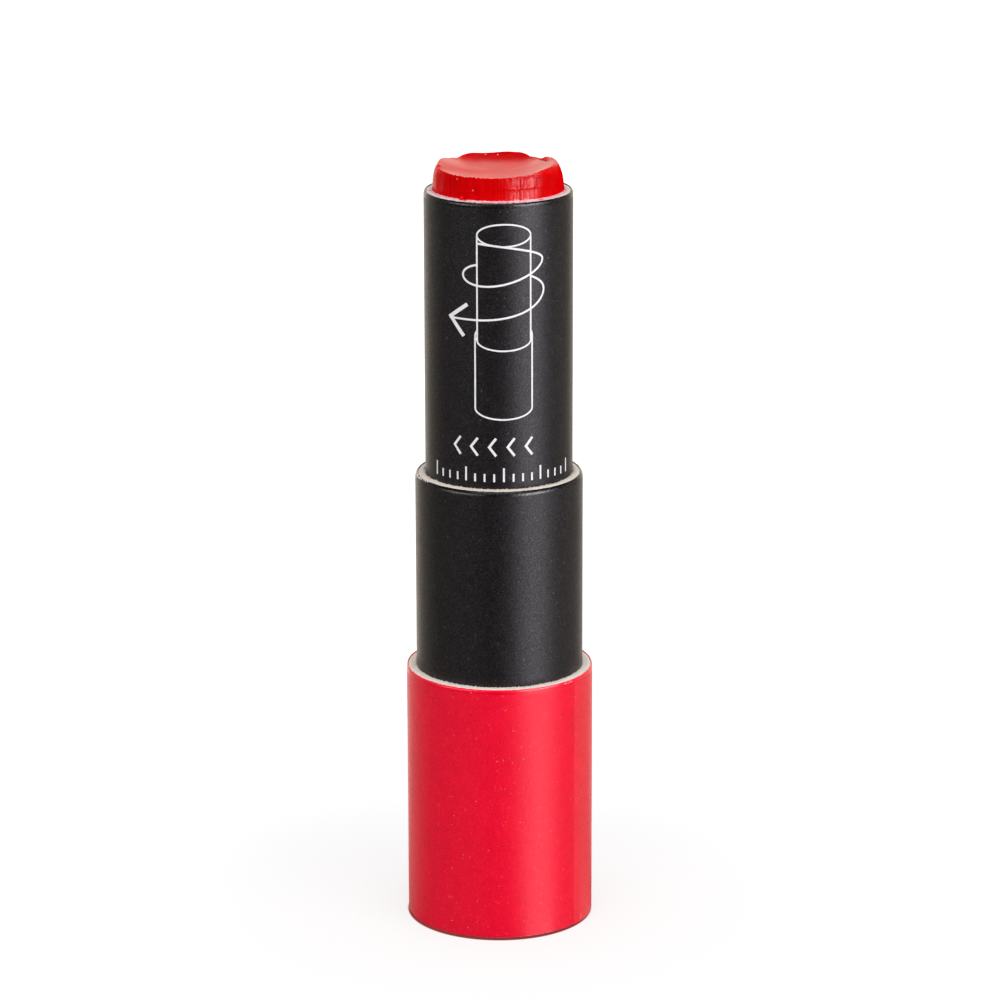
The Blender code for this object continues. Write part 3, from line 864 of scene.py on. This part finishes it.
def build_bullet():
    azimuths = full_turn(BULLET_COLUMNS)
    foot = foot_of("bullet")
    socket_top = top_of("carrier_tube") + 0.05 * MM
    socket_radius = min(radii_of("carrier_tube")) - GLUE_LINE
    column = azimuths[:, None]

    top_shares = 1.0 - np.linspace(0.0, 1.0, TOP_ROWS + 1)[:-1] ** 1.6
    top_radii = np.tile(top_shares * BULLET_RADIUS, (BULLET_COLUMNS, 1))
    top_heights, past = worn_height(np.repeat(column, TOP_ROWS, 1), top_radii)
    edge_heights = top_heights[:, :1]

    low = [(socket_radius, foot), (socket_radius, socket_top), (BULLET_RADIUS, socket_top)]
    low += upright(BULLET_RADIUS, socket_top + 0.3 * MM, DETAILED_FROM, 0.5 * MM)
    low_radii, low_heights = spread_out(np.array(low), azimuths)
    climb = np.linspace(0.0, 1.0, SIDE_ROWS + 1)[1:-1]
    high_heights = DETAILED_FROM + (edge_heights - DETAILED_FROM) * climb
    high_radii = np.full_like(high_heights, BULLET_RADIUS)

    radii = np.concatenate([low_radii, high_radii, top_radii], 1)
    heights = np.concatenate([low_heights, high_heights, top_heights], 1)
    rows = radii.shape[1]
    around = np.repeat(column, rows, 1)
    on_side = np.concatenate([low_radii > BULLET_RADIUS - 0.3 * MM, np.ones_like(high_radii), past], 1)
    on_top = np.arange(rows) >= rows - TOP_ROWS

    along = (heights - foot) / (BULLET_TOP - foot)
    turns = around / TURN
    drawn = mottle(82, turns, along, 330, 9) + 0.6 * mottle(83, turns, along, 120, 5)
    radii -= on_side * (1.6 + drawn) / 3.2 * STREAK_DEPTH
    facets = np.clip(mottle(84, turns, along, 64, 26) + 0.5 * mottle(87, turns, along, 150, 48), -0.2, 1.0)
    shown = eased(heights, SLEEVE_RIM - 4 * MM, SLEEVE_RIM - MM)
    radii -= on_side * shown * (facets + 0.2) * FACET_DEPTH
    for azimuth, half_angle, facing, *ends in FLATS:
        angle = np.degrees(around) - azimuth
        far = math.cos((abs(facing - azimuth) + half_angle) * DEGREE)
        turned = np.radians(np.clip(angle, -half_angle, half_angle) + azimuth - facing)
        low, high = np.array(ends) * MM
        patch = eased(heights, low, low + FLAT_EDGE) * eased(heights, high, high - FLAT_EDGE)
        chord = BULLET_RADIUS * (1.0 - far / np.cos(turned))
        radii -= on_side * patch * (np.abs(angle) <= half_angle) * chord
    bead = np.exp(-((heights - edge_heights + BEAD_BELOW) / BEAD_BELOW) ** 2) * on_side
    radii += bead * np.clip(ripple(85, 10, 90, azimuths), -0.3, 1.0) * BEAD_DEPTH
    radii = np.minimum(radii, BULLET_RADIUS)
    rubbed = mottle(86, turns, radii / BULLET_RADIUS, 90, 30)
    heights += on_top * (rubbed - 1.0) * RUBBED_DEPTH * (radii > 0.4 * MM)

    middle = worn_height(np.zeros((1, 1)), np.zeros((1, 1)))[0][0, 0]
    points = np.concatenate([placed(around, radii, heights), [(0.0, 0.0, middle), (0.0, 0.0, foot)]])
    faces = skin(BULLET_COLUMNS, rows, all_round=False)
    for i in range(BULLET_COLUMNS):
        here, there = i * rows, (i + 1) % BULLET_COLUMNS * rows
        faces += [(here + rows - 1, there + rows - 1, len(points) - 2), (there, here, len(points) - 1)]
    piece = make_piece("wax_bullet", points, faces, red_wax(), "carrier")
    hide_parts("bullet")


def build_crumbs():
    """Crumbs of wax on the sleeve's rim."""
    random = np.random.default_rng(91)
    shape = bmesh.new()
    for azimuth, radius, rise, size, tall in CRUMBS:
        made = bmesh.ops.create_icosphere(shape, subdivisions=3, radius=size * MM)
        kneads = random.normal(size=(4, 3)) / (size * MM)
        squash = Vector((*random.uniform(0.7, 1.0, 2), tall))
        centre = Vector(on_tube(azimuth * DEGREE, radius * MM, SLEEVE_RIM + rise * MM))
        for vertex in made["verts"]:
            swell = sum(math.sin(float(vertex.co.dot(Vector(k))) * 1.6) for k in kneads)
            vertex.co = vertex.co * (1.0 + 0.10 * swell) * squash + centre
    mesh = bpy.data.meshes.new("wax_crumbs")
    shape.to_mesh(mesh)
    shape.free()
    # The crumbs get a lighter red than the bullet's wax: painted light
    crumb_wax_painted_light = grained("wax_crumbs", CRUMB_PAINTED_LIGHT, 0.10, (0.85, 1.05), (0.40, 0.55), 0.02, 0.1)
    add_piece("wax_crumbs", mesh, crumb_wax_painted_light, "sleeve")


# The printed sign

def stroke(path, width):
    """The two sides of a line of that width."""
    path = np.asarray(path, float)
    ahead = np.gradient(path, axis=0)
    ahead /= np.linalg.norm(ahead, axis=1)[:, None]
    across = np.stack([-ahead[:, 1], ahead[:, 0]], -1) * width / 2
    return path + across, path - across


def line(start, end, width):
    count = max(2, round(math.dist(start, end) / LINE_STEP) + 1)
    return stroke(np.linspace(start, end, count), width)


def oval(centre, half_width, half_height, start, end):
    """Part of an ellipse; angle 0 is its right end and a quarter turn its top."""
    angles = even(start, end, OVAL_STEP)
    u = centre[0] + half_width * np.cos(angles)
    v = centre[1] + half_height * np.sin(angles)
    return stroke(np.stack([u, v], -1), PEN)


def coil(turns):
    """The arrow's path round the drawn tube: turn 0 is its right end, and it comes down in front."""
    turns = np.asarray(turns, float)
    parts = np.array(COIL_PARTS)
    part = np.searchsorted(parts[:, 0], turns, "right") - 1
    reach, pitch, depth, lean = parts[part, 1:].T
    last = np.clip(turns - 1.0, 0.0, None)
    u = SIGN_MIDDLE + reach * (1.0 + COIL_FLARE * eased(turns, 1.36, 1.47)) * np.cos(TURN * turns)
    v = COIL_TOP - pitch * turns - depth * np.sin(TURN * turns) - COIL_SAG * last ** 2
    v += lean * np.sin(2.0 * TURN * turns)
    return np.stack([u, v], -1)


def sign_strips():
    """Every stroke of the sign: a tube in a wider tube, a turning arrow, chevrons and a row of ticks."""
    strips = []
    for side in (-1, 1):
        wide, slim = WIDE_MIDDLE + side * WIDE, SIGN_MIDDLE + side * SLIM
        between, gap = (wide + slim) / 2, abs(wide - slim)
        start, end = (0.0, math.pi / 2) if side > 0 else (math.pi / 2, math.pi)
        strips += [line((wide, SIGN_FOOT), (wide, SIGN_SHOULDER), PEN),
                   line((slim, SIGN_STEP), (slim, SIGN_TOP), PEN),
                   line((between, SIGN_STEP), (between, SIGN_SHOULDER), gap),
                   oval((slim, SIGN_SHOULDER), gap, CORNER, start, end)]
    strips += [oval((WIDE_MIDDLE, SIGN_FOOT), WIDE, FOOT_OVAL, -math.pi, 0.0),
               oval((SIGN_MIDDLE, SIGN_STEP), SLIM, STEP_OVAL, -math.pi, 0.0),
               oval((SIGN_MIDDLE, SIGN_TOP), SLIM, TOP_OVAL, -math.pi, math.pi)]
    strips += [stroke(coil(even(*seen, COIL_STEP)), COIL_PEN) for seen in COIL_SEEN]
    tip = coil([COIL_SEEN[-1][1]])[0] - (ARROW_PEN, -0.07)
    strips += [line(tip + (0.10, 0.16), tip + ARROW_LOW, ARROW_PEN),
               line(tip - (0.02, 0.06), tip + ARROW_HIGH, ARROW_PEN)]

    for k in range(CHEVRONS):
        tip = np.array(CHEVRON_ROW) + (k * CHEVRON_STEP, 0.0)
        for side in (-1, 1):
            start = tip - (0.0, side * 0.35 * CHEVRON_PEN)
            strips.append(line(start, tip + (CHEVRON_WIDE, side * CHEVRON_TALL), CHEVRON_PEN))
    for k in range(TICKS):
        u, v = TICK_ROW[0] + k * TICK_STEP, TICK_ROW[1]
        strips.append(line((u, v), (u, v + (TALL_TICK if k % 4 == 0 else SHORT_TICK)), TICK_PEN))
    return strips


def build_sign():
    points, faces = [], []
    shares = np.linspace(0.0, 1.0, INK_ACROSS)
    for lefts, rights in sign_strips():
        first = len(points)
        for left, right in zip(lefts, rights):
            for radius, order in ((SLEEVE_RADIUS + INK_PROUD, 1), (SLEEVE_RADIUS - INK_ROOT, -1)):
                for share in shares[::order]:
                    u, v = (left + (right - left) * share) * MM
                    points.append(on_tube(u / SLEEVE_RADIUS, radius, v))
        faces += skin(len(lefts), 2 * INK_ACROSS, first, joined=False)
    ink = grained("white_ink", INK, 0.12, (0.90, 1.04), (0.45, 0.6), 0.003)
    make_piece("printed_sign", np.array(points), faces, ink, "sleeve")


# Studio

def add_camera():
    lens = bpy.data.cameras.new("camera")
    lens.lens = CAMERA_LENS
    lens.clip_start = 0.01
    lens.clip_end = 20.0
    camera = add_object("camera", lens)
    camera.location = CAMERA_PLACE
    camera.rotation_mode = "QUATERNION"
    turn = Quaternion((0.0, 0.0, 1.0), -CAMERA_YAW)
    tilt = Quaternion((1.0, 0.0, 0.0), math.pi / 2 - CAMERA_PITCH)
    roll = Quaternion((0.0, 0.0, 1.0), CAMERA_ROLL)
    camera.rotation_quaternion = turn @ tilt @ roll
    bpy.context.scene.camera = camera


def add_softbox(name, azimuth, elevation, distance, width, height, radiance, tint):
    """A rectangular lamp that faces the tube from a direction, as bright as its radiance."""
    lamp = bpy.data.lights.new(name, "AREA")
    lamp.shape = "RECTANGLE"
    lamp.size = width
    lamp.size_y = height
    lamp.energy = radiance * math.pi * width * height
    lamp.color = tint
    elevation *= DEGREE
    out = Vector(on_tube(azimuth * DEGREE, math.cos(elevation), math.sin(elevation)))
    box = add_object(name, lamp)
    box.rotation_mode = "QUATERNION"
    box.rotation_quaternion = out.to_track_quat("Z", "Y")
    box.location = AIM + out * distance


def light_pools(graph, direction, pools):
    """Softboxes' soft reflections on the floor and in the room, each round its azimuth."""
    flat = graph.vector("NORMALIZE", graph.vector("MULTIPLY", direction, (1.0, 1.0, 0.0)))
    shades = []
    for azimuth, half_width, level, tint in pools:
        turned = graph.dot(flat, on_tube(azimuth * DEGREE, 1.0, 0.0))
        far, near = math.cos(half_width * DEGREE), math.cos(half_width / 3 * DEGREE)
        shades.append(graph.tint(tint, graph.span(turned, far, near, 0.0, level)))
    return graph.sum_colours(*shades)


def gloss_surroundings(graph, direction):
    """What gloss sees of the studio in a direction: a dim room in front, a pale backdrop behind."""
    right, back, up = graph.axes(direction)
    ramp = graph.node("ValToRGB", {"Fac": graph.span(back, -1.0, 1.0, kind="LINEAR")})
    stops = ramp.color_ramp.elements
    while len(stops) < len(SURROUNDINGS):
        stops.new(0.5)
    for stop, (position, level) in zip(stops, SURROUNDINGS):
        stop.position = position
        stop.color = colour(*(level * part for part in BACKDROP_TINT))
    gain = graph.times(graph.span(right, 0.1, -0.7, 1.0, LEFT_GAIN),
                       graph.span(right, 0.80, 0.98, 1.0, RIGHT_GAIN),
                       graph.span(up, 0.001, 0.01, FLOOR_SHARE, 1.0),
                       graph.span(up, 0.08, 0.26, LOW_GAIN, 1.0), graph.span(up, 0.26, 0.57, 1.0, 0.02))
    room = graph.tint(ramp.outputs["Color"], gain)
    pools = graph.tint(light_pools(graph, direction, POOLS), graph.span(up, 0.0, 0.12, 1.0, 0.0))
    strip_height = graph.times(graph.span(up, 0.12, 0.18), graph.span(up, 0.26, 0.36, 1.0, 0.0))
    strips = graph.tint(light_pools(graph, direction, STRIPS), strip_height)
    return graph.sum_colours(room, pools, strips)


def soft_light(graph, direction):
    """The even light of large softboxes all round, between the horizon and half way up."""
    up = graph.axes(direction)[2]
    band = graph.times(graph.span(up, 0.14, 0.34), graph.span(up, 0.56, 0.76, 1.0, 0.0))
    return graph.tint(AMBIENT, band)


def ray_kinds(graph):
    """Whether the camera sees a point, and whether gloss does."""
    path = graph.node("LightPath").outputs
    return path["Is Camera Ray"], graph.math("MAXIMUM", path["Is Glossy Ray"], path["Is Transmission Ray"])


def add_world():
    world = bpy.data.worlds.new("studio")
    world.cycles.sampling_method = "NONE"
    bpy.context.scene.world = world
    graph = Graph(world)
    by_camera, by_gloss = ray_kinds(graph)
    direction = graph.node("TexCoord").outputs["Generated"]
    unseen = graph.mix(by_gloss, soft_light(graph, direction), gloss_surroundings(graph, direction))
    graph.put(graph.tree.nodes["Background"], {"Color": graph.mix(by_camera, unseen, WHITE)})


def add_floor():
    """A white floor: near white to the camera with the tube's shadow, painted at the foot; gloss sees the
    studio.
    """
    bpy.ops.mesh.primitive_plane_add(size=FLOOR_SIZE, location=(0.0, 0.0, -GLUE_LINE))
    floor = bpy.context.object
    floor.name = "floor"
    material = bpy.data.materials.new("white_floor")
    material.cycles.emission_sampling = "NONE"
    graph = Graph(material)
    graph.tree.nodes.clear()
    by_camera, by_gloss = ray_kinds(graph)
    point = graph.node("NewGeometry").outputs["Position"]
    shown = graph.span(by_camera, 0.0, 1.0, FLOOR_ALBEDO, FLOOR_SHOWN, "LINEAR")
    # Painted shadow round the foot: it darkens the floor's colour and turns its glow dark red
    from_shade = graph.radius(graph.vector("SUBTRACT", point, CONTACT_SHIFT))
    painted_shadow = graph.span(from_shade, BASE_RADIUS - CONTACT_FADE, BASE_RADIUS + CONTACT_FADE, 1.0, 0.0)
    diffuse = graph.node("BsdfDiffuse", {"Color": graph.times(shown, graph.minus(1.0, painted_shadow))})
    nearby = graph.span(graph.vector("LENGTH", point), NEAR_FLOOR, FAR_FLOOR, FLOOR_GLOW, 1.0)
    glow = graph.node("Emission", {"Color": graph.mix(painted_shadow, WHITE, CONTACT_SHADE),
                                   "Strength": graph.times(by_camera, nearby)})
    lit = graph.node("AddShader", {0: diffuse.outputs[0], 1: glow.outputs[0]})
    seen_from_wall = graph.vector("NORMALIZE", graph.vector("SUBTRACT", point, MIRROR_CENTRE))
    mirrored = graph.node("Emission", {"Color": gloss_surroundings(graph, seen_from_wall)})
    choice = graph.node("MixShader", {0: by_gloss, 1: lit.outputs[0], 2: mirrored.outputs[0]})
    graph.node("OutputMaterial", {"Surface": choice.outputs[0]})
    floor.data.materials.append(material)


add_camera()
for softbox in SOFTBOXES:
    add_softbox(*softbox)
add_world()
add_floor()
bpy.context.scene.view_settings.view_transform = "Standard"

build_base_wrap()
build_black_wrap("neck", "base", NECK_RADIUS, NECK_RIM, NECK_ROUND, 21, NECK_SCUFFS, CHIP_DEPTH)
build_black_wrap("sleeve", "sleeve", SLEEVE_RADIUS, SLEEVE_RIM, SLEEVE_ROUND, 31)
build_boards()
build_liner()
build_bullet()
build_crumbs()
build_sign()
dress_inner_solids()
